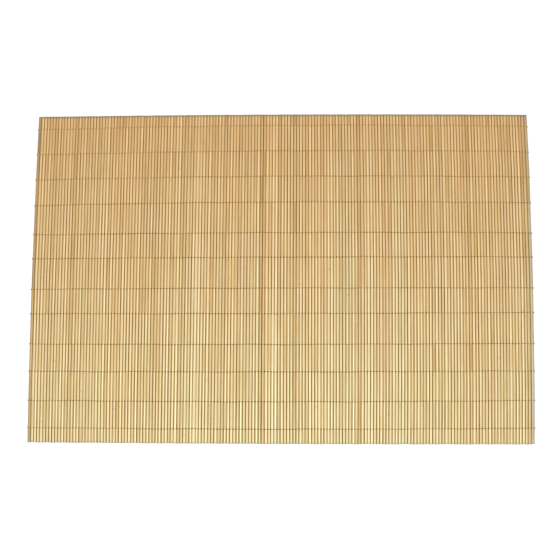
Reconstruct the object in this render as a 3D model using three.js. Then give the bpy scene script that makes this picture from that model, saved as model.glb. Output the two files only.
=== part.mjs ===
// Bamboo placemat: thin split-bamboo slats lie side by side and rows of thread hold
// them together, one strand over the slats and one under them. Millimetres, +Z up,
// with the table at z = 0. X runs across the slats and Y along them.
import * as THREE from "three";
import { mergeVertices } from "three/addons/utils/BufferGeometryUtils.js";

// Driving dimensions
const MAT_WIDTH = 450; // across the slats, at the middle of their length
const MAT_DEPTH = 300; // along the slats, at the middle of the mat
const SLAT_COUNT = 164;
const MIDDLE_WIDER = 0.013; // share of their mean spacing by which the middle slats lie wider apart
const SLAT_THICKNESS = 1.6; // of the thickest slat
const SLAT_THINNER = 0.2; // how much thinner the thinnest slat is
const SIDE_TOP = 1.0; // where a slat's side starts to round over, above its underside
const SIDE_FOOT = 0.5; // where it starts to round under
const CROWN_SHARE = 0.48; // of a slat's width that its flat crown takes
const FOOT_SHARE = 0.6; // of a slat's width that its flat underside takes
const STRAND_WIDTH = 0.56;
const STRAND_HEIGHT = 0.4;
const CLEARANCE = 0.3; // between a strand and the slats
const TURN_CORNER = 0.3; // cut off the corner where a strand turns down

// How far the outline draws in towards its corners
const DRAW_IN = { left: 1.4, right: 2.1, back: 1.3, front: 0.6 };

// How uneven the hand-laid slats are
const EDGE_JITTER = 0.15; // of the line between two slats, each way
const END_UNEVEN = { front: 0.45, back: 0.2 }; // how much shorter a slat may end
const END_STEP = 0.05; // the slats' ends are cut to this
const EVEN_ENDS = 0.25; // share of the slats that end in line with each other
const SWAY = 0.45; // slow side-to-side wander of the slats' ends
const SWAY_WAVE = { front: 31, back: 43 }; // how far apart along the mat its turns are

// What differs from slat to slat, each with its own row of uneven numbers
const FRONT_LINE = 1;
const MIDDLE_LINE = 2;
const BACK_LINE = 3;
const FRONT_END = 4;
const BACK_END = 5;
const THICKNESS = 6;

// One strand's section: half widths and heights as shares of its full size
const STRAND_SECTION = [
  { side: -0.32, up: 0 },
  { side: 0.32, up: 0 },
  { side: 0.5, up: 0.5 },
  { side: 0.32, up: 1 },
  { side: -0.32, up: 1 },
  { side: -0.5, up: 0.5 },
];

// Where each thread row runs, from the front edge: at the left side, the middle and the right side
const THREAD_ROWS = [
  { left: 13.7, middle: 12.9, right: 14.7 },
  { left: 37.7, middle: 37.1, right: 38.9 },
  { left: 63.7, middle: 63.6, right: 64.9 },
  { left: 88.2, middle: 88.1, right: 89.5 },
  { left: 115.7, middle: 115.9, right: 117.0 },
  { left: 137.8, middle: 139.0, right: 139.2 },
  { left: 165.7, middle: 167.2, right: 167.2 },
  { left: 187.9, middle: 189.7, right: 189.2 },
  { left: 215.1, middle: 218.0, right: 216.7 },
  { left: 239.0, middle: 242.0, right: 240.5 },
  { left: 262.6, middle: 265.8, right: 264.1 },
  { left: 286.3, middle: 289.8, right: 287.7 },
];
const ROW_STEPS = 8; // straight stretches in a strand from side to side
const SAME_POINT = 1e-4; // corners closer than this are one

const HALF_WIDTH = MAT_WIDTH / 2;
const HALF_DEPTH = MAT_DEPTH / 2;
const SLAT_UNDERSIDE = STRAND_HEIGHT + CLEARANCE;
const TOP_STRAND_Z = SLAT_UNDERSIDE + SLAT_THICKNESS + CLEARANCE;

const bamboo = new THREE.MeshStandardMaterial({ color: 0xd7b582, roughness: 0.55, metalness: 0 });
const thread = new THREE.MeshStandardMaterial({ color: 0x6b4a26, roughness: 0.9, metalness: 0 });

// A fixed uneven number from 0 to 1 for each slat, another for each kind of unevenness.
function uneven(slat, kind) {
  const wave = Math.sin(slat * 12.9898 + kind * 78.233) * 43758.5453;
  return wave - Math.floor(wave);
}

// The x of a line between two slats before anything bends it. The slats lie a little wider
// apart at the middle of the mat than at its sides.
function evenLine(line) {
  const share = (2 * line) / SLAT_COUNT - 1;
  return HALF_WIDTH * share * (1 + MIDDLE_WIDER * (1 - share ** 2));
}

// How far a point at x lies from the middle, 0 there and 1 at the sides.
function sideShare(x) {
  return Math.min(1, Math.abs(x) / HALF_WIDTH);
}

// The x at y of the line between two slats, or of an outermost side. It is straight from the
// middle of the mat to its front edge and to its back edge.
function slatLine(line, y) {
  const even = evenLine(line);
  const outermost = line === 0 || line === SLAT_COUNT;
  const jitter = (kind) => (outermost ? 0 : EDGE_JITTER * (2 * uneven(line, kind) - 1));
  const kind = y < 0 ? FRONT_LINE : BACK_LINE;
  const wave = y < 0 ? SWAY_WAVE.front : SWAY_WAVE.back;
  const drawIn = (even < 0 ? DRAW_IN.left : DRAW_IN.right) / HALF_WIDTH;
  const sway = SWAY * Math.sin(even / wave + kind) * (1 - sideShare(even) ** 2);
  const atMiddle = even + jitter(MIDDLE_LINE);
  const atEnd = even * (1 - drawIn) + sway + jitter(kind);
  return atMiddle + (atEnd - atMiddle) * (Math.abs(y) / HALF_DEPTH);
}

// The y of a slat's front and back ends.
function slatEnds(slat) {
  const share = sideShare(evenLine(slat + 0.5)) ** 2;
  const shorter = (most, kind) => most * Math.max(0, uneven(slat, kind) - EVEN_ENDS);
  const cut = (length) => END_STEP * Math.round(length / END_STEP);
  return {
    front: cut(-HALF_DEPTH + DRAW_IN.front * share + shorter(END_UNEVEN.front, FRONT_END)),
    back: cut(HALF_DEPTH - DRAW_IN.back * share - shorter(END_UNEVEN.back, BACK_END)),
  };
}

// A closed body through rings of points with the same count, with flat ends.
function loft(rings) {
  const size = rings[0].length;
  const positions = rings.flat(2);
  const faces = [];
  for (let ring = 0; ring + 1 < rings.length; ring++) {
    for (let k = 0; k < size; k++) {
      const here = ring * size + k;
      const next = ring * size + ((k + 1) % size);
      faces.push(here, next, next + size);
      faces.push(here, next + size, here + size);
    }
  }
  const last = (rings.length - 1) * size;
  for (let k = 1; k + 1 < size; k++) {
    faces.push(0, k + 1, k);
    faces.push(last, last + k, last + k + 1);
  }
  const geometry = new THREE.BufferGeometry();
  geometry.setAttribute("position", new THREE.Float32BufferAttribute(positions, 3));
  geometry.setIndex(faces);
  geometry.computeVertexNormals();
  return geometry;
}

// Faces between two seams that run from front to back and need not have the same points.
// They look up when the first seam is the left one.
function strip(first, second) {
  const triangles = [];
  let a = 0;
  let b = 0;
  while (a + 1 < first.length || b + 1 < second.length) {
    const noSecond = b + 1 === second.length;
    const noFirst = a + 1 === first.length;
    if (noSecond || (!noFirst && first[a + 1][1] <= second[b + 1][1])) {
      triangles.push(first[a], second[b], first[a + 1]);
      a++;
    } else {
      triangles.push(first[a], second[b], second[b + 1]);
      b++;
    }
  }
  return triangles;
}

// A flat cut through corners that go round clockwise, seen from the mat's front.
function endCut(corners, looksBack) {
  const triangles = [];
  for (let k = 1; k + 1 < corners.length; k++) {
    const pair = looksBack ? [corners[k], corners[k + 1]] : [corners[k + 1], corners[k]];
    triangles.push(corners[0], ...pair);
  }
  return triangles;
}

// The faces of one slat that show: its crown, its underside, its rounded edges, its cut ends,
// and its sides only where it reaches past its neighbours.
function slatFaces(slat) {
  const { front, back } = slatEnds(slat);
  const crown = SLAT_THICKNESS - SLAT_THINNER * uneven(slat, THICKNESS);
  const seam = (across, up, places) =>
    places.map((y) => {
      const left = slatLine(slat, y);
      const width = slatLine(slat + 1, y) - left;
      return [left + across * width, y, SLAT_UNDERSIDE + up];
    });
  const whole = [front, 0, back];
  const besides = (neighbour) => {
    if (neighbour < 0 || neighbour === SLAT_COUNT) return { places: whole, bare: [whole] };
    const ends = slatEnds(neighbour);
    const between = [ends.front, ends.back].filter((y) => y > front && y < back);
    return {
      places: [...whole, ...between].sort((one, other) => one - other),
      bare: [[front, ends.front], [ends.back, back]].filter(([from, to]) => from < to),
    };
  };
  const left = besides(slat - 1);
  const right = besides(slat + 1);
  const crownIn = (1 - CROWN_SHARE) / 2;
  const footIn = (1 - FOOT_SHARE) / 2;
  const over = [
    seam(0, SIDE_TOP, left.places),
    seam(crownIn, crown, whole),
    seam(1 - crownIn, crown, whole),
    seam(1, SIDE_TOP, right.places),
  ];
  const under = [
    seam(1, SIDE_FOOT, right.places),
    seam(1 - footIn, 0, whole),
    seam(footIn, 0, whole),
    seam(0, SIDE_FOOT, left.places),
  ];
  const faces = [];
  for (const seams of [over, under]) {
    for (let n = 0; n + 1 < seams.length; n++) {
      faces.push(...strip(seams[n], seams[n + 1]));
    }
  }
  for (const stretch of left.bare) {
    faces.push(...strip(seam(0, SIDE_FOOT, stretch), seam(0, SIDE_TOP, stretch)));
  }
  for (const stretch of right.bare) {
    faces.push(...strip(seam(1, SIDE_TOP, stretch), seam(1, SIDE_FOOT, stretch)));
  }
  const around = [...over, ...under];
  faces.push(...endCut(around.map((points) => points[0]), false));
  faces.push(...endCut(around.map((points) => points.at(-1)), true));
  return faces;
}

// All the slats, side against side, as one ribbed sheet.
function slatSheet() {
  const slats = Array.from({ length: SLAT_COUNT }, (_, slat) => slatFaces(slat));
  const geometry = new THREE.BufferGeometry();
  const corners = new THREE.Float32BufferAttribute(slats.flat(2), 3);
  geometry.setAttribute("position", corners);
  const sheet = mergeVertices(geometry, SAME_POINT);
  sheet.computeVertexNormals();
  return sheet;
}

// The y of a thread row at x: a parabola through its three given places.
function rowY(row, x) {
  const across = x / HALF_WIDTH;
  const slope = (row.right - row.left) / 2;
  const bend = (row.right + row.left) / 2 - row.middle;
  return row.middle + slope * across + bend * across ** 2 - HALF_DEPTH;
}

// The x of the middle of a strand that turns down outside the outermost slat of a row.
function turnX(row, side) {
  const line = side < 0 ? 0 : SLAT_COUNT;
  const slatSide = slatLine(line, rowY(row, side * HALF_WIDTH));
  return slatSide + side * (CLEARANCE + STRAND_HEIGHT / 2);
}

// The x of a strand's bends between the two sides of the mat.
function innerBends() {
  return Array.from({ length: ROW_STEPS - 1 }, (_, n) => ((2 * (n + 1)) / ROW_STEPS - 1) * HALF_WIDTH);
}

// A strand along a route that runs from left to right. Its section keeps its width along Y,
// and is mitred where the route bends.
function strandGeometry(route) {
  const rings = route.map(([x, y, z], n) => {
    const [beforeX, , beforeZ] = route[Math.max(0, n - 1)];
    const [afterX, , afterZ] = route[Math.min(route.length - 1, n + 1)];
    const into = new THREE.Vector2(x - beforeX, z - beforeZ).normalize();
    const outOf = new THREE.Vector2(afterX - x, afterZ - z).normalize();
    const along = new THREE.Vector2().addVectors(into, outOf).normalize();
    const mitre = 1 / along.dot(n === 0 ? outOf : into);
    return STRAND_SECTION.map(({ side, up }) => {
      const rise = (up - 0.5) * STRAND_HEIGHT * mitre;
      return [x - along.y * rise, y + side * STRAND_WIDTH, z + along.x * rise];
    });
  });
  return loft(rings);
}

// The under strand lies on the table and ends below the top strand's turns.
function underRoute(row) {
  const toOuterFace = STRAND_HEIGHT / 2;
  const places = [turnX(row, -1) - toOuterFace, ...innerBends(), turnX(row, 1) + toOuterFace];
  return places.map((x) => [x, rowY(row, x), STRAND_HEIGHT / 2]);
}

// The top strand lies over the slats and turns down outside the outermost slats.
function topRoute(row) {
  const z = TOP_STRAND_Z + STRAND_HEIGHT / 2;
  const turnEnd = STRAND_HEIGHT + CLEARANCE;
  const leftX = turnX(row, -1);
  const rightX = turnX(row, 1);
  const places = [
    [leftX, turnEnd],
    [leftX, z - TURN_CORNER],
    [leftX + TURN_CORNER, z],
    ...innerBends().map((x) => [x, z]),
    [rightX - TURN_CORNER, z],
    [rightX, z - TURN_CORNER],
    [rightX, turnEnd],
  ];
  return places.map(([x, up]) => [x, rowY(row, x), up]);
}

function addPiece(group, name, geometry, material) {
  const mesh = new THREE.Mesh(geometry, material.clone());
  mesh.name = name;
  group.add(mesh);
}

const placemat = new THREE.Group();
addPiece(placemat, "slats", slatSheet(), bamboo);
THREAD_ROWS.forEach((row, n) => {
  const number = String(n + 1).padStart(2, "0");
  addPiece(placemat, `thread_${number}_top`, strandGeometry(topRoute(row)), thread);
  addPiece(placemat, `thread_${number}_under`, strandGeometry(underRoute(row)), thread);
});

export default placemat;
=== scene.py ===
import bpy
import numpy as np
from mathutils import Matrix, Vector


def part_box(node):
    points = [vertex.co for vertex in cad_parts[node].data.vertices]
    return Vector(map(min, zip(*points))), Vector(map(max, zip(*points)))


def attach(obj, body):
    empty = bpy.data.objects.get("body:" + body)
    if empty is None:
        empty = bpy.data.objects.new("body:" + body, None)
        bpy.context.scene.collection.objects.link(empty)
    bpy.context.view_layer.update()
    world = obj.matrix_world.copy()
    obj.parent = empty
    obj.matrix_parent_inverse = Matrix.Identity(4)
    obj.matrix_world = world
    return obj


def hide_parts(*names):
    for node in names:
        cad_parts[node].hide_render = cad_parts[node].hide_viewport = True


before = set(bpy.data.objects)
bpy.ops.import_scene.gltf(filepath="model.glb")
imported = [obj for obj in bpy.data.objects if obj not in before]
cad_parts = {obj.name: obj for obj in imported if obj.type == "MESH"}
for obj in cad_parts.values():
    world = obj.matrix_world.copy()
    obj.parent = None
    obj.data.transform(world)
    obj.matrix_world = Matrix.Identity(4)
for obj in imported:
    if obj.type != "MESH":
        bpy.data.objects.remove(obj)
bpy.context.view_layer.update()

# Slats
# Thin strips split from a bamboo stalk, planed to a rounded section and sawn off together.
# They lie side by side along Y, all but touching, and no two are quite alike.

# All lengths are in metres unless they say otherwise
slats_low, slats_high = (np.array(corner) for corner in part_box("slats"))
half_width = (slats_high[0] - slats_low[0]) / 2
half_depth = (slats_high[1] - slats_low[1]) / 2
underside = slats_low[2]
thickest = slats_high[2] - slats_low[2]
thinner_by = 0.0002
slat_count = 164
middle_wider = 0.013

# The lines between the slats, and the gap at each
line_jitter = 0.00015
sway = 0.00045
sway_wave = {"front": 0.031, "back": 0.043}
gap_width = 0.00001
gap_spread = 0.00001

# How the outline draws in towards its corners, and how the slats' ends were cut
draw_in = {"left": 0.0014, "right": 0.0021, "back": 0.0013, "front": 0.0006}
end_uneven = {"front": 0.00045, "back": 0.0002}
even_ends = 0.25
end_step = 0.00005

# Stations along a slat, as shares of its length, and its section
stations = np.array([0, 0.002, 0.17, 0.5, 0.83, 0.998, 1])
section_points = 12
flattest_power = 0.6
roundest_power = 1.05
under_power = 0.6
most_roll = np.radians(5)

# What each kind of uneven number is for, and the large sine that they all come from
FRONT_LINE, MIDDLE_LINE, BACK_LINE, FRONT_END, BACK_END, THICKNESS = range(1, 7)
GAP, ROLL, ROUND, CREVICE, TONE, WARMTH, JOINT = range(7, 14)
turn_by_number = 12.9898
turn_by_kind = 78.233
large_sine = 43758.5453


def uneven(number, kind):
    """A fixed uneven number from 0 to 1 for each slat or line: the fraction of a large sine."""
    wave = np.sin(np.asarray(number, float) * turn_by_number + kind * turn_by_kind) * large_sine
    return wave - np.floor(wave)


def even_line(line):
    """The x of a line between two slats before anything bends it. The slats lie a little wider
    apart at the middle of the mat than at its sides, by a cubic of the line's share."""
    share = 2 * np.asarray(line, float) / slat_count - 1
    return half_width * share * (1 + middle_wider * (1 - share**2))


def slat_line(line, y):
    """The x of the line between two slats at y: its even place, moved at each end by the outline's
    draw-in, a slow sway and a jitter, and blended from the middle outwards by y squared."""
    line, y = np.asarray(line, float), np.asarray(y, float)
    even = even_line(line)
    inner = (line > 0) & (line < slat_count)
    share = np.minimum(1, np.abs(even) / half_width)
    draw = np.where(even < 0, draw_in["left"], draw_in["right"]) / half_width
    jitter = {
        kind: inner * line_jitter * (2 * uneven(line, kind) - 1)
        for kind in (FRONT_LINE, MIDDLE_LINE, BACK_LINE)
    }
    ends = {
        kind: even * (1 - draw) + sway * np.sin(even / wave + kind) * (1 - share**2) + jitter[kind]
        for kind, wave in ((FRONT_LINE, sway_wave["front"]), (BACK_LINE, sway_wave["back"]))
    }
    middle = even + jitter[MIDDLE_LINE]
    end = np.where(y < 0, ends[FRONT_LINE], ends[BACK_LINE])
    return middle + (end - middle) * (y / half_depth) ** 2


def slat_ends(slat):
    """The y of each slat's front and back ends, in whole steps: the outline's bow, which grows with
    the square of x, and what the cut took off, an uneven number less the share of even ends."""
    share = (even_line(slat + 0.5) / half_width) ** 2
    cut_off = {
        end: end_uneven[end] * np.maximum(0, uneven(slat, kind) - even_ends)
        for end, kind in (("front", FRONT_END), ("back", BACK_END))
    }
    front = -half_depth + draw_in["front"] * share + cut_off["front"]
    back = half_depth - draw_in["back"] * share - cut_off["back"]
    return (end_step * np.round(end / end_step) for end in (front, back))


def crown_height(slat):
    """How thick each slat is at its crown: the thickest less an uneven share of the difference."""
    return thickest - thinner_by * uneven(slat, THICKNESS)


def line_gap(line):
    """How wide the gap at each line is: its usual width and an uneven share of its spread. There is
    none outside the outermost slats."""
    inner = (line > 0) & (line < slat_count)
    return inner * (gap_width + gap_spread * (2 * uneven(line, GAP) - 1))


def rounded_section(slat):
    """Points round each slat's section from -1 to 1: an oval, flatter below than above, and above
    rounder on some slats than on others. Each is the sine and cosine of its angle raised to a
    power, which makes it squarer the lower it is. It is widened to reach the slat's sides."""
    angle = 2 * np.pi * (np.arange(section_points) + 0.5) / section_points
    across, up = np.cos(angle), np.sin(angle)
    over_power = flattest_power + (roundest_power - flattest_power) * uneven(slat, ROUND)
    power = np.where(up > 0, over_power, under_power)
    across = np.sign(across) * np.abs(across) ** power
    return across / across.max(-1, keepdims=True), np.sign(up) * np.abs(up) ** power


def slat_corners():
    """Corners of all slats, by slat, station and place round the section. The section is
    stretched between the lines on each side of the slat, and its crown is rolled a little."""
    slat = np.arange(slat_count)[:, None, None]
    front, back = slat_ends(slat)
    y = front + (back - front) * stations[None, :, None]
    left = slat_line(slat, y) + line_gap(slat) / 2
    right = slat_line(slat + 1, y) - line_gap(slat + 1) / 2
    across, up = rounded_section(slat)
    roll = most_roll * (2 * uneven(slat, ROLL) - 1)
    half = (right - left) / 2
    x = (left + right) / 2 + across * half
    z = underside + crown_height(slat) * (1 + up) / 2 + across * half * np.sin(roll) * (up > 0)
    return np.stack(np.broadcast_arrays(x, y, z), -1)


def tube_faces(tubes, rings, around):
    """Faces of many closed tubes whose corners are numbered tube by tube, ring by ring, and round
    each ring; every ring turns right-handed about the way the tube runs."""
    start = (np.arange(tubes) * rings * around)[:, None, None]
    ring = (np.arange(rings - 1) * around)[None, :, None]
    here = np.arange(around)[None, None, :]
    after = (here + 1) % around
    quads = np.stack(np.broadcast_arrays(
        start + ring + here,
        start + ring + after,
        start + ring + around + after,
        start + ring + around + here,
    ), -1).reshape(-1, 4)
    first = start[:, 0] + np.arange(around)[::-1]
    last = start[:, 0] + (rings - 1) * around + np.arange(around)
    return quads, (first, last)


def mesh_piece(name, corners, quads, caps=()):
    """An object at the origin from corner places, smooth four-cornered faces and flat end faces."""
    mesh = bpy.data.meshes.new(name)
    mesh.vertices.add(len(corners))
    mesh.vertices.foreach_set("co", np.asarray(corners, np.float32).ravel())
    groups = [np.asarray(quads), *map(np.asarray, caps)]
    sizes = np.concatenate([np.full(len(group), group.shape[1]) for group in groups])
    mesh.loops.add(int(sizes.sum()))
    mesh.loops.foreach_set("vertex_index", np.concatenate([group.ravel() for group in groups]))
    mesh.polygons.add(len(sizes))
    mesh.polygons.foreach_set("loop_start", np.concatenate([[0], np.cumsum(sizes)[:-1]]))
    mesh.polygons.foreach_set("use_smooth", sizes == 4)
    mesh.update(calc_edges=True)
    mesh.validate()
    piece = bpy.data.objects.new(name, mesh)
    bpy.context.scene.collection.objects.link(piece)
    return piece


corners = slat_corners()
quads, caps = tube_faces(slat_count, len(stations), section_points)

# The corners turn left-handed round each slat, so its faces are turned over
quads = quads[:, ::-1]
caps = [cap[:, ::-1] for cap in caps]
slats = mesh_piece("slats_visual", corners.reshape(-1, 3), quads, caps)

# Where each thread row crosses the slats, in millimetres from the front edge
thread_rows = [
    {"left": 13.7, "middle": 12.9, "right": 14.7},
    {"left": 37.7, "middle": 37.1, "right": 38.9},
    {"left": 63.7, "middle": 63.6, "right": 64.9},
    {"left": 88.2, "middle": 88.1, "right": 89.5},
    {"left": 115.7, "middle": 115.9, "right": 117.0},
    {"left": 137.8, "middle": 139.0, "right": 139.2},
    {"left": 165.7, "middle": 167.2, "right": 167.2},
    {"left": 187.9, "middle": 189.7, "right": 189.2},
    {"left": 215.1, "middle": 218.0, "right": 216.7},
    {"left": 239.0, "middle": 242.0, "right": 240.5},
    {"left": 262.6, "middle": 265.8, "right": 264.1},
    {"left": 286.3, "middle": 289.8, "right": 287.7},
]

# Slats that stand out, by number from the left: how much darker each is, or paler below 0. They
# were set after measuring the photo, and an empty table leaves every slat to the formula.
darker_slats = {
    0: 2.0, 6: 0.7, 13: 0.9, 24: -0.8, 25: 0.8, 29: 0.5, 36: 0.6, 40: 0.8, 45: -0.6, 46: 0.6,
    48: -0.7, 49: 0.6, 51: -0.5, 54: -0.8, 63: 0.8, 74: -0.9, 75: 1.4, 76: 1.2, 77: -0.8, 79: -1.2,
    80: -0.6, 81: 0.9, 86: 0.8, 90: 0.5, 91: -0.7, 98: -0.6, 105: -0.6, 107: 1.1, 110: -0.7,
    117: 0.6, 119: -0.6, 131: 0.6, 132: -0.6, 134: 0.7, 135: -1.0, 143: 1.1, 144: -0.7, 145: 0.7,
    150: 0.6, 160: -0.6, 161: 0.9, 162: 0.3, 163: 0.8,
}

# Runs of slats with a tint of their own, set in the same way: redder, or greener below 0, or
# greyer far below it
tinted_slats = [
    {"first": 0, "last": 0, "redder": -0.6},
    {"first": 4, "last": 13, "redder": 0.3},
    {"first": 28, "last": 32, "redder": 0.5},
    {"first": 46, "last": 54, "redder": -0.4},
    {"first": 75, "last": 76, "redder": 0.4},
    {"first": 79, "last": 80, "redder": -0.7},
    {"first": 98, "last": 105, "redder": -0.4},
    {"first": 119, "last": 122, "redder": -0.6},
    {"first": 139, "last": 152, "redder": 0.3},
    {"first": 163, "last": 163, "redder": -3.2},
]

# How much each slat's or line's own uneven number counts, and how far from the mat's middle a
# joint of the stalk may lie: most are off the mat, so only some slats show one
beside = 0.48
own_tone = 0.38
own_warmth = 0.7
own_crevice = 0.42
line_crevice = 0.5
joint_reach = 0.6


def unlike_beside(number, kind):
    """An uneven number from -1 to 1 for each slat or line less a share of both neighbours', so that
    those side by side differ the most."""
    before, own, after = (2 * uneven(number + step, kind) - 1 for step in (-1, 0, 1))
    return own - beside * (before + after)


def slat_tones():
    """How dark each slat is: its own uneven number, or what the table gives."""
    tones = own_tone * unlike_beside(np.arange(slat_count), TONE)
    tones[list(darker_slats)] = list(darker_slats.values())
    return tones


def slat_warmths():
    """How red each slat is: its own uneven number and the tint of its run."""
    warmths = own_warmth * (2 * uneven(np.arange(slat_count), WARMTH) - 1)
    for run in tinted_slats:
        warmths[run["first"]:run["last"] + 1] += run["redder"]
    return warmths


def straightened_y(x, y):
    """The y that each corner would have if the thread rows were straight: less the bow of the rows
    beside it, which grows with the square of x."""
    middles = [row["middle"] / 1000 for row in thread_rows]
    bows = [(row["left"] + row["right"]) / 2 - row["middle"] for row in thread_rows]
    bow = np.interp(y + half_depth, middles, bows) / 1000
    return y - bow * (x / half_width) ** 2


def by_corner(per_slat):
    """One number for each slat, given to all its corners."""
    return np.broadcast_to(per_slat[:, None, None], corners.shape[:3])


def keep_at_corners(piece, name, values):
    """A number kept at each corner of a piece, which its material reads by name."""
    layer = piece.data.attributes.new(name, "FLOAT", "POINT")
    layer.data.foreach_set("value", np.asarray(values, np.float32).ravel())


slat_number = np.arange(slat_count)
joint_y = (2 * uneven(slat_number, JOINT) - 1) * joint_reach
slat_at_corner = slat_number[:, None, None]
across = np.broadcast_to(rounded_section(slat_at_corner)[0], corners.shape[:3])
nearest_line = np.where(across < 0, slat_at_corner, slat_at_corner + 1)
corner_x = corners[..., 0]
corner_y = corners[..., 1]
from_front = corner_y - corner_y[:, :1]
from_back = corner_y[:, -1:] - corner_y
keep_at_corners(slats, "number", by_corner(slat_number))
keep_at_corners(slats, "tone", by_corner(slat_tones()))
keep_at_corners(slats, "warmth", by_corner(slat_warmths()))
keep_at_corners(slats, "joint_y", by_corner(joint_y))
keep_at_corners(slats, "from_side", 1 - np.abs(across))
keep_at_corners(slats, "crevice", line_crevice + own_crevice * unlike_beside(nearest_line, CREVICE))
keep_at_corners(slats, "straight_y", straightened_y(corner_x, corner_y))
keep_at_corners(slats, "from_end", np.minimum(from_front, from_back))

# The bamboo's shade, from pale straw at 0 to dark tan at 1, and grey beyond. It is the usual shade
# and a share of the slat's tone, of slow patches, of fine streaks and of the slat's stretches
# between two thread rows. Where the painted shade in the crevices beside it is deeper, the crown is
# painted paler, so that the slat's mean stays the same.
pale_straw = (0.85, 0.65, 0.391, 1)
dark_tan = (0.43, 0.235, 0.047, 1)
grey_tan = (0.24, 0.19, 0.12, 1)
grey_shades = (0.9, 1.3)
usual_shade = 0.38
shade_from = {"tone": 0.26, "crevice": -0.26, "patches": 0.4, "streaks": 0.5, "stretch": 0.12}

# Tints, which a colour is multiplied by, and the warmths that they belong to
green_tint = (0.93, 1.02, 0.975, 1)
red_tint = (1.04, 0.96, 0.835, 1)
green_to_red = (-1.5, 1.5)
greyer_tint = (0.84, 0.93, 1.15, 1)
greyer_to_green = (-2.5, -1.5)
yellow_tint = (1.01, 1.0, 0.93, 1)
creamy_tint = (0.99, 1.0, 1.07, 1)
# A painted sheen, paler and brighter towards the front edge, and more golden towards the back edge
front_sheen_tint = (1.06, 1.185, 1.2, 1)
back_tint = (0.945, 0.835, 0.715, 1)

# A painted pool of sheen at the front edge: its x, how it fades to both sides, and where it ends
palest_sheen_tint = (1.01, 1.045, 1.075, 1)
palest_x = 0.028
palest_fade = (0.06, 0.14)
palest_until = 0.02

# The crevices, where shade is painted between the slats: how deep one is, how far it reaches in,
# as a share of half a slat, and its tint
stretch_crevice = 1.6
mean_crevice = 1.3
crevice_depths = (0.1, 2.4)
crevice_shade_strength = {"front": 1.96, "back": 1.32}
crevice_reach = 0.66
crevice_shade_tint = (0.35, 0.235, 0.04, 1)

# The joint line of the stalk, the slats' greyer ends with a painted shadow at the back end and their
# open pores, and the fibres
joint_brown = (0.32, 0.20, 0.09, 1)
joint_fade = (0.0004, 0.0018)
joint_strength = 0.22
front_end_grey = (0.28, 0.29, 0.25, 1)
back_end_shadow = (0.12, 0.125, 0.09, 1)
end_fade = (0.0009, 0.0023)
end_strength = {"front": 0.35, "back": 0.6}
end_strength_y = (-0.1, 0.1)
fibre_brown = (0.28, 0.17, 0.06, 1)
fibre_strength = 0.2
fibre_noise = (0.35, 0.6)
pore_strength = 0.7
pore_depth = 0.0002

# The waxy gloss, a little uneven by streaks, and how high the grain stands
streak_noise = (0.3, 0.7)
smoothest = 0.34
roughest = 0.50
waxy_shine = 0.7
grain_height = 0.00006
grain_strength = 0.35

# How far apart the slats lie in the pattern of the patches, so that each has patches of its own
patch_step = 3.7


def add_node(tree, kind, inputs=None, **settings):
    """One shader node with its settings; each input is set to a value or linked to a socket."""
    made = tree.nodes.new(kind)
    for name, value in settings.items():
        setattr(made, name, value)
    for name, value in (inputs or {}).items():
        if isinstance(value, bpy.types.NodeSocket):
            tree.links.new(value, made.inputs[name])
        else:
            made.inputs[name].default_value = value
    return made


def calculate(tree, how, *values):
    """A Math node's result."""
    return add_node(tree, "ShaderNodeMath", dict(enumerate(values)), operation=how).outputs[0]


def distance(tree, value, other):
    """How far apart two values are: their difference without its sign."""
    return calculate(tree, "ABSOLUTE", calculate(tree, "SUBTRACT", value, other))


def spread(tree, value, low, high, to_low=0.0, to_high=1.0):
    """A value carried from one range to another and held inside it."""
    inputs = {"Value": value, "From Min": low, "From Max": high, "To Min": to_low, "To Max": to_high}
    return add_node(tree, "ShaderNodeMapRange", inputs).outputs["Result"]


def noise(tree, place, scale, stretch=(1, 1, 1), detail=2.0, shift=(0, 0, 0)):
    """Noise at a scale per metre, with each axis stretched."""
    moved = {"Vector": place, "Scale": stretch, "Location": shift}
    mapped = add_node(tree, "ShaderNodeMapping", moved)
    inputs = {"Vector": mapped.outputs[0], "Scale": scale, "Detail": detail, "Roughness": 0.55}
    return add_node(tree, "ShaderNodeTexNoise", inputs).outputs["Fac"]


def blend_colours(tree, share, first, second, how="MIX"):
    """A Mix node's colour: the second colour over the first, by a share."""
    inputs = {0: share, 6: first, 7: second}
    mix = add_node(tree, "ShaderNodeMix", inputs, data_type="RGBA", blend_type=how)
    return mix.outputs[2]


def tinted(tree, colour, tint, share=1.0):
    """A colour multiplied by a tint, by a share."""
    return blend_colours(tree, share, colour, tint, "MULTIPLY")


def attribute(tree, name):
    """A number that the mesh keeps by name."""
    return add_node(tree, "ShaderNodeAttribute", attribute_name=name).outputs["Fac"]


def new_material(name):
    """A node material, its tree and its shader."""
    made = bpy.data.materials.new(name)
    made.use_nodes = True
    tree = made.node_tree
    return made, tree, tree.nodes["Principled BSDF"]


def stretch_numbers(tree, number):
    """Three uneven numbers for each stretch of a slat between two thread rows: white noise of the
    slat's number and of how many rows lie in front of the stretch."""
    straight_y = attribute(tree, "straight_y")
    rows_in_front = 0.0
    for row in thread_rows:
        behind = calculate(tree, "GREATER_THAN", straight_y, row["middle"] / 1000 - half_depth)
        rows_in_front = calculate(tree, "ADD", behind, rows_in_front)
    place = add_node(tree, "ShaderNodeCombineXYZ", {"X": number, "Y": rows_in_front}).outputs[0]
    three = add_node(tree, "ShaderNodeTexWhiteNoise", {"Vector": place}).outputs["Color"]
    return add_node(tree, "ShaderNodeSeparateXYZ", {0: three}).outputs


def bamboo_shade(tree, parts):
    """How dark the bamboo is: the usual shade and the slat's tone, and for each part its share of
    how far it is off its mean."""
    tone = attribute(tree, "tone")
    shade = calculate(tree, "MULTIPLY_ADD", tone, shade_from["tone"], usual_shade)
    for name, part, mean in parts:
        off_mean = calculate(tree, "SUBTRACT", part, mean)
        shade = calculate(tree, "MULTIPLY_ADD", off_mean, shade_from[name], shade)
    return shade


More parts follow.
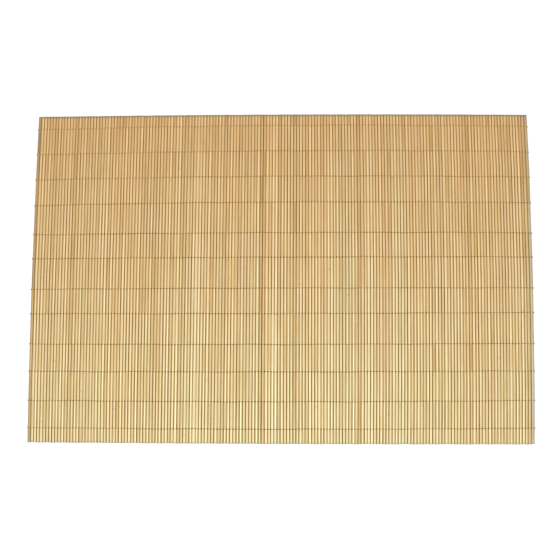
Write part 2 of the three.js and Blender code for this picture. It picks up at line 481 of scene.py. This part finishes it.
def bamboo_material():
    """Planed bamboo: straw to tan by slat, slow patches along each slat, and a step of tone and of
    cream at each thread row. It has painted shade in the crevices at its sides, is greyer at its
    front end and has a painted shadow at its back end, with a faint line where the stalk had a
    joint, and with long fibres that open as pores on the sawn ends. It has a painted sheen, paler
    towards the front edge and more golden towards the back edge, a painted pool of sheen near the
    middle of the front edge, and a low waxy gloss."""
    made, tree, shader = new_material("planed_bamboo")
    place = add_node(tree, "ShaderNodeTexCoord").outputs["Object"]
    axes = add_node(tree, "ShaderNodeSeparateXYZ", {0: place}).outputs
    y = axes["Y"]
    to_back = spread(tree, y, -half_depth, half_depth)

    number = calculate(tree, "ROUND", attribute(tree, "number"))
    own_x = calculate(tree, "MULTIPLY", number, patch_step)
    own_place = add_node(tree, "ShaderNodeCombineXYZ", {"X": own_x, "Y": y}).outputs[0]
    stretch = stretch_numbers(tree, number)
    fibres = noise(tree, place, scale=5200, stretch=(1, 0.012, 1), detail=3)
    streaks = noise(tree, place, scale=1500, stretch=(1, 0.02, 1), detail=2, shift=(0.3, 0, 0))
    patches = noise(tree, own_place, scale=24, detail=2)
    own_depth = attribute(tree, "crevice")
    crevice = calculate(tree, "MULTIPLY_ADD", stretch["Y"], stretch_crevice, own_depth)

    shade = bamboo_shade(tree, (
        ("crevice", crevice, mean_crevice),
        ("patches", patches, 0.5),
        ("streaks", streaks, 0.5),
        ("stretch", stretch["X"], 0.5),
    ))
    colour = blend_colours(tree, shade, pale_straw, dark_tan)
    colour = blend_colours(tree, spread(tree, shade, *grey_shades), colour, grey_tan)

    warmth = attribute(tree, "warmth")
    green_or_red = blend_colours(tree, spread(tree, warmth, *green_to_red), green_tint, red_tint)
    colour = tinted(tree, colour, green_or_red)
    greyer_share = spread(tree, warmth, *greyer_to_green, 1.0, 0.0)
    colour = tinted(tree, colour, greyer_tint, greyer_share)
    colour = tinted(tree, colour, blend_colours(tree, stretch["Z"], yellow_tint, creamy_tint))

    from_joint = distance(tree, y, attribute(tree, "joint_y"))
    joint = spread(tree, from_joint, *joint_fade, joint_strength, 0.0)
    colour = blend_colours(tree, joint, colour, joint_brown)

    # Painted shade in the crevices at the slats' sides, deeper towards the front edge
    strength = spread(tree, to_back, 0.0, 1.0, crevice_shade_strength["front"], crevice_shade_strength["back"])
    depth = calculate(tree, "MULTIPLY", spread(tree, crevice, *crevice_depths), strength)
    painted_crevice_shade = spread(tree, attribute(tree, "from_side"), 0.0, crevice_reach, depth, 0.0)
    colour = tinted(tree, colour, crevice_shade_tint, painted_crevice_shade)

    # Painted sheen towards the front edge, more golden towards the back edge
    colour = tinted(tree, colour, blend_colours(tree, to_back, front_sheen_tint, back_tint))
    # A painted pool of sheen near the middle of the front edge
    at_front = spread(tree, y, -half_depth, palest_until, 1.0, 0.0)
    painted_sheen_pool = spread(tree, distance(tree, axes["X"], palest_x), *palest_fade, at_front, 0.0)
    colour = tinted(tree, colour, palest_sheen_tint, painted_sheen_pool)

    # The ends are greyer, and at the back end a painted shadow darkens them further
    from_end = attribute(tree, "from_end")
    greyed = spread(tree, y, *end_strength_y, end_strength["front"], end_strength["back"])
    darker_end = spread(tree, from_end, *end_fade, greyed, 0.0)
    end_grey = blend_colours(tree, to_back, front_end_grey, back_end_shadow)
    colour = blend_colours(tree, darker_end, colour, end_grey)
    open_fibre = spread(tree, from_end, 0.0, pore_depth, pore_strength, fibre_strength)
    dark_fibre = spread(tree, fibres, *fibre_noise, open_fibre, 0.0)
    colour = blend_colours(tree, dark_fibre, colour, fibre_brown)

    tree.links.new(colour, shader.inputs["Base Color"])
    roughness = spread(tree, streaks, *streak_noise, smoothest, roughest)
    tree.links.new(roughness, shader.inputs["Roughness"])
    shader.inputs["Specular IOR Level"].default_value = waxy_shine
    raised = {"Height": fibres, "Strength": grain_strength, "Distance": grain_height}
    grain = add_node(tree, "ShaderNodeBump", raised)
    tree.links.new(grain.outputs[0], shader.inputs["Normal"])
    return made


slats.data.materials.append(bamboo_material())
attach(slats, "root")
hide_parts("slats")

# Thread rows
# Two strands of thin brown cotton twined along each row. Between every two slats they cross, the
# one from above going down and the other coming up, so each slat is held from both sides.

pressed_radius = 0.00011
loose_radius = 0.00040
strand_apart = 0.00024
strand_sides = 6
ply_ridges = 0.12

# A row's slow wander along the slats: how far it goes, and the two waves whose product it is
row_wander = 0.00025
wander_waves = [{"long": 0.011, "shift": 400}, {"long": 0.037, "shift": 90}]

# How a strand runs over one slat: how far across it, how much of the way up to its crown, and how
# far it has swollen back to its loose thickness from being pressed flat on the crown
pass_shape = np.array([
    [0.000, 0.00, 1.0],
    [0.045, 0.62, 1.0],
    [0.150, 0.90, 1.0],
    [0.260, 0.97, 0.4],
    [0.500, 1.00, 0.0],
    [0.740, 0.97, 0.4],
    [0.850, 0.90, 1.0],
    [0.955, 0.62, 1.0],
])


def row_y(row, x):
    """The y of a thread row at x: a parabola through its three places, with a slow wander."""
    across = x / half_width
    left, middle, right = (row[side] / 1000 for side in ("left", "middle", "right"))
    bend = (right + left) / 2 - middle
    quick, slow = (np.sin(x / wave["long"] + wave["shift"] * middle) for wave in wander_waves)
    wander = row_wander * quick * slow
    return middle + (right - left) / 2 * across + bend * across**2 - half_depth + wander


def strand_path(row, starts_over):
    """Points along a strand, eight for each slat, and how loose it is at each. Over a slat it
    follows the crown, under one the underside, and it leans across the row so that the strands
    pass side by side in the gaps."""
    slat = np.append(np.repeat(np.arange(slat_count), len(pass_shape)), slat_count - 1)
    share, rise, loose = np.append(np.tile(pass_shape, (slat_count, 1)), [[1, 0, 1]], axis=0).T
    nominal = row_y(row, even_line(slat + share))
    left, right = slat_line(slat, nominal), slat_line(slat + 1, nominal)
    x = left + share * (right - left)
    over = (slat + starts_over) % 2 == 0
    lift = crown_height(slat) / 2 + pressed_radius
    side = np.where(over, 1, -1)
    z = underside + crown_height(slat) / 2 + side * rise * lift
    y = row_y(row, x) + side * (1 - 2 * share) * strand_apart
    return np.stack([x, y, z], -1), loose


def ply_heights(rings, sides, plies, turn):
    """How high each corner of a wound thread lies, from -1 between its plies to 1 on one: a sine of
    the angle round the thread, as many times as it has plies, turned further with each ring."""
    angle = 2 * np.pi * np.arange(sides) / sides
    return np.sin(plies * angle[None, :] + turn * np.arange(rings)[:, None])


def tube_corners(path, radius):
    """Rings of corners round a path, each corner with its own radius. A ring stands square to the
    path, which never runs along Y, so its two directions are Y without its share along the path,
    and the cross of both."""
    along = np.gradient(path, axis=0)
    along /= np.linalg.norm(along, axis=1)[:, None]
    level = np.array([0, 1, 0]) - along[:, 1:2] * along
    level /= np.linalg.norm(level, axis=1)[:, None]
    upward = np.cross(along, level)
    angle = 2 * np.pi * np.arange(radius.shape[1]) / radius.shape[1]
    cosine = np.cos(angle)[None, :, None]
    sine = np.sin(angle)[None, :, None]
    return path[:, None] + radius[..., None] * (cosine * level[:, None] + sine * upward[:, None])


# The thread's browns: fuzzy cotton from dark to mid brown, worn to tan where it is pressed on a
# slat, which is partly painted light, and painted shade in the furrows between its plies, whose
# height is -1 at the bottom and 1 on a ply
dark_brown = (0.08, 0.033, 0.002, 1)
mid_brown = (0.18, 0.083, 0.007, 1)
fuzz_noise = (0.3, 0.7)
worn_and_lit_tan = (0.68, 0.50, 0.23, 1)
worn_and_lit_noise = (0.35, 0.6)
least_worn_and_lit = 0.55
furrow_shade_brown = (0.06, 0.027, 0.003, 1)
furrow_heights = (-0.9, 0.3)
furrow_strength = 0.45

# Where and how much at most it is bleached: in uneven stretches, by a range of noise, towards the
# back edge, by y, and towards both sides, by the distance from the middle
bleached_tan = (0.58, 0.38, 0.15, 1)
bleached_stretches = {"low": 0.475, "high": 0.755, "most": 0.65}
bleached_back = {"low": 0.04, "high": 0.15, "most": 0.72}
bleached_sides = {"low": 0.05, "high": 0.22, "most": 0.25}
# The bleaching is scaled down in the dips as painted shade and up on the crowns as painted light
light_in_dips = 0.4
light_on_crowns = 1.35

# How dull cotton is, and how high its fuzz stands
cotton_roughness = 0.85
cotton_shine = 0.05
fuzz_height = 0.00005
fuzz_strength = 0.5


def thread_material():
    """Twisted cotton: dark brown in the dips, worn to tan where it passes over the slats, partly as
    painted light, with painted shade in the furrows between its plies. It is bleached here and
    there and towards the mat's back edge and its sides, less in the dips as painted shade and more
    on the crowns as painted light."""
    made, tree, shader = new_material("brown_cotton_thread")
    place = add_node(tree, "ShaderNodeTexCoord").outputs["Object"]
    axes = add_node(tree, "ShaderNodeSeparateXYZ", {0: place}).outputs
    fuzz = noise(tree, place, scale=9000, detail=3)
    fade = noise(tree, place, scale=18, detail=5)
    colour = blend_colours(tree, spread(tree, fuzz, *fuzz_noise), dark_brown, mid_brown)

    on_crown = attribute(tree, "worn_and_lit")
    worn_and_lit = calculate(tree, "MULTIPLY", on_crown, spread(tree, fade, *worn_and_lit_noise, least_worn_and_lit, 1.0))
    colour = blend_colours(tree, worn_and_lit, colour, worn_and_lit_tan)
    # Painted shade in the furrows between the plies
    furrow_shade = spread(tree, attribute(tree, "ply"), *furrow_heights, furrow_strength, 0.0)
    colour = blend_colours(tree, furrow_shade, colour, furrow_shade_brown)

    from_middle = calculate(tree, "ABSOLUTE", axes["X"])
    bleached = 0.0
    for value, over in (
        (fade, bleached_stretches),
        (axes["Y"], bleached_back),
        (from_middle, bleached_sides),
    ):
        more = spread(tree, value, over["low"], over["high"], 0.0, over["most"])
        bleached = calculate(tree, "ADD", more, bleached)
    # Painted light on the crowns and painted shade in the dips
    in_light = spread(tree, on_crown, 0.0, 1.0, light_in_dips, light_on_crowns)
    bleached = calculate(tree, "MULTIPLY", in_light, bleached)
    colour = blend_colours(tree, bleached, colour, bleached_tan)

    tree.links.new(colour, shader.inputs["Base Color"])
    shader.inputs["Roughness"].default_value = cotton_roughness
    shader.inputs["Specular IOR Level"].default_value = cotton_shine
    raised = {"Height": fuzz, "Strength": fuzz_strength, "Distance": fuzz_height}
    fuzziness = add_node(tree, "ShaderNodeBump", raised)
    tree.links.new(fuzziness.outputs[0], shader.inputs["Normal"])
    return made


brown_thread = thread_material()
for number, row in enumerate(thread_rows, 1):
    both_strands = [strand_path(row, starts_over) for starts_over in (0, 1)]
    paths = [path for path, _ in both_strands]
    loose = np.stack([how_loose for _, how_loose in both_strands])
    ply = ply_heights(loose.shape[1], strand_sides, plies=1, turn=np.pi / 2)
    smooth_radius = pressed_radius + (loose_radius - pressed_radius) * loose
    radii = smooth_radius[..., None] * (1 + ply_ridges * ply)
    strands = np.stack([tube_corners(path, radius) for path, radius in zip(paths, radii)])
    quads, caps = tube_faces(len(strands), strands.shape[1], strand_sides)
    thread = mesh_piece(f"thread_row_{number:02d}", strands.reshape(-1, 3), quads, caps)
    # The tan on the crowns is partly wear and partly painted light
    keep_at_corners(thread, "worn_and_lit", np.repeat(1 - loose, strand_sides))
    keep_at_corners(thread, "ply", np.broadcast_to(ply, strands.shape[:3]))
    thread.data.materials.append(brown_thread)
    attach(thread, "root")
    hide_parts(f"thread_{number:02d}_top", f"thread_{number:02d}_under")

# Thread ends
# Where a row leaves the outermost slat, its two strands are tied in a small knot against the
# slat's side, and cut off a little past it.

# Along a knot and its cut end, in millimetres: how far from the slat's side, how far along the
# slat, how high above the slat's underside, and how thick
knot_profile = np.array([
    [0.05, -0.45, 1.05, 0.03],
    [0.12, -0.38, 1.05, 0.24],
    [0.20, -0.20, 1.00, 0.40],
    [0.24, 0.00, 0.90, 0.46],
    [0.26, 0.18, 0.75, 0.38],
    [0.34, 0.32, 0.50, 0.20],
    [0.50, 0.45, 0.15, 0.13],
    [0.72, 0.62, -0.20, 0.12],
    [0.95, 0.85, -0.42, 0.12],
    [1.02, 0.92, -0.46, 0.03],
]) / 1000
knot_sides = 8
# The knots' share of worn tan, which is partly painted light
knot_worn_and_lit = 0.25
knot_ply = ply_heights(len(knot_profile), knot_sides, plies=3, turn=1.7)


def knot_corners(row, side):
    """Rings round a knot's path. Each is a circle in the XZ plane whose radius swells and sinks
    with the plies."""
    outwards, along, above, radius = knot_profile.T
    x = side * half_width
    line = slat_count if side > 0 else 0
    edge = slat_line(line, row_y(row, x))
    centre = np.stack([edge + side * outwards, row_y(row, x) + along, underside + above], -1)
    angle = 2 * np.pi * np.arange(knot_sides) / knot_sides
    wide = radius[:, None] * (1 + ply_ridges * knot_ply)
    ring = np.stack([np.sin(angle), np.zeros(knot_sides), np.cos(angle)], -1)
    return centre[:, None] + wide[..., None] * ring[None]


knots = np.stack([knot_corners(row, side) for row in thread_rows for side in (-1, 1)])
quads, caps = tube_faces(len(knots), knots.shape[1], knot_sides)
thread_knots = mesh_piece("thread_knots", knots.reshape(-1, 3), quads, caps)
keep_at_corners(thread_knots, "worn_and_lit", np.full(knots.shape[:3], knot_worn_and_lit))
keep_at_corners(thread_knots, "ply", np.broadcast_to(knot_ply, knots.shape[:3]))
thread_knots.data.materials.append(brown_thread)
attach(thread_knots, "root")

# Floor and light
# A plain matt white table top, lit until it is pure white as in the photo, under a soft white sky.
# A large square lamp above the mat's front edge gives the slats their light and dark sides.

floor_half = 3.0
floor_white = (0.95, 0.95, 0.95, 1)
floor_roughness = 0.9
sky_white = (1, 1, 1, 1)
sky_strength = 0.65
lamp_place = (-0.02, -0.27, 1.2)
lamp_aim = (0, 0, 0)
lamp_size = 0.9
lamp_power = 11.9

floor = mesh_piece(
    "floor",
    [
        (-floor_half, -floor_half, 0),
        (floor_half, -floor_half, 0),
        (floor_half, floor_half, 0),
        (-floor_half, floor_half, 0),
    ],
    [(0, 1, 2, 3)],
)
white, _, shader = new_material("white_floor")
shader.inputs["Base Color"].default_value = floor_white
shader.inputs["Roughness"].default_value = floor_roughness
shader.inputs["Specular IOR Level"].default_value = 0.0
floor.data.materials.append(white)

world = bpy.data.worlds.new("soft_sky")
world.use_nodes = True
world.node_tree.nodes["Background"].inputs["Color"].default_value = sky_white
world.node_tree.nodes["Background"].inputs["Strength"].default_value = sky_strength
bpy.context.scene.world = world

lamp = bpy.data.lights.new("front_lamp", "AREA")
lamp.size = lamp_size
lamp.energy = lamp_power
lamp_holder = bpy.data.objects.new("front_lamp", lamp)
lamp_holder.location = lamp_place
lamp_down = Vector(lamp_aim) - Vector(lamp_place)
lamp_holder.rotation_euler = lamp_down.to_track_quat("-Z", "Y").to_euler()
lamp_holder.visible_camera = False
bpy.context.scene.collection.objects.link(lamp_holder)

# Camera
# It stands almost straight above the mat, a little towards the front, and is turned a trace. Its
# place and its lens were fitted to the four edges of the mat in the photo.

camera_place = Vector((0.0438, -0.2127, 1.2291))
camera_aim = Vector((-0.0006, -0.0037, 0.0022))
camera_roll = np.radians(0.34)
lens_millimetres = 89.21
sensor_millimetres = 36.0

forward = (camera_aim - camera_place).normalized()
level_right = forward.cross(Vector((0, 1, 0))).normalized()
right = Matrix.Rotation(-camera_roll, 3, forward) @ level_right
up = right.cross(forward)
lens = bpy.data.cameras.new("photo_camera")
lens.lens = lens_millimetres
lens.sensor_width = sensor_millimetres
lens.sensor_fit = "HORIZONTAL"
camera = bpy.data.objects.new("photo_camera", lens)
camera.matrix_world = Matrix((right, up, -forward)).transposed().to_4x4()
camera.location = camera_place
bpy.context.scene.collection.objects.link(camera)
bpy.context.scene.camera = camera
bpy.context.scene.view_settings.view_transform = "Standard"
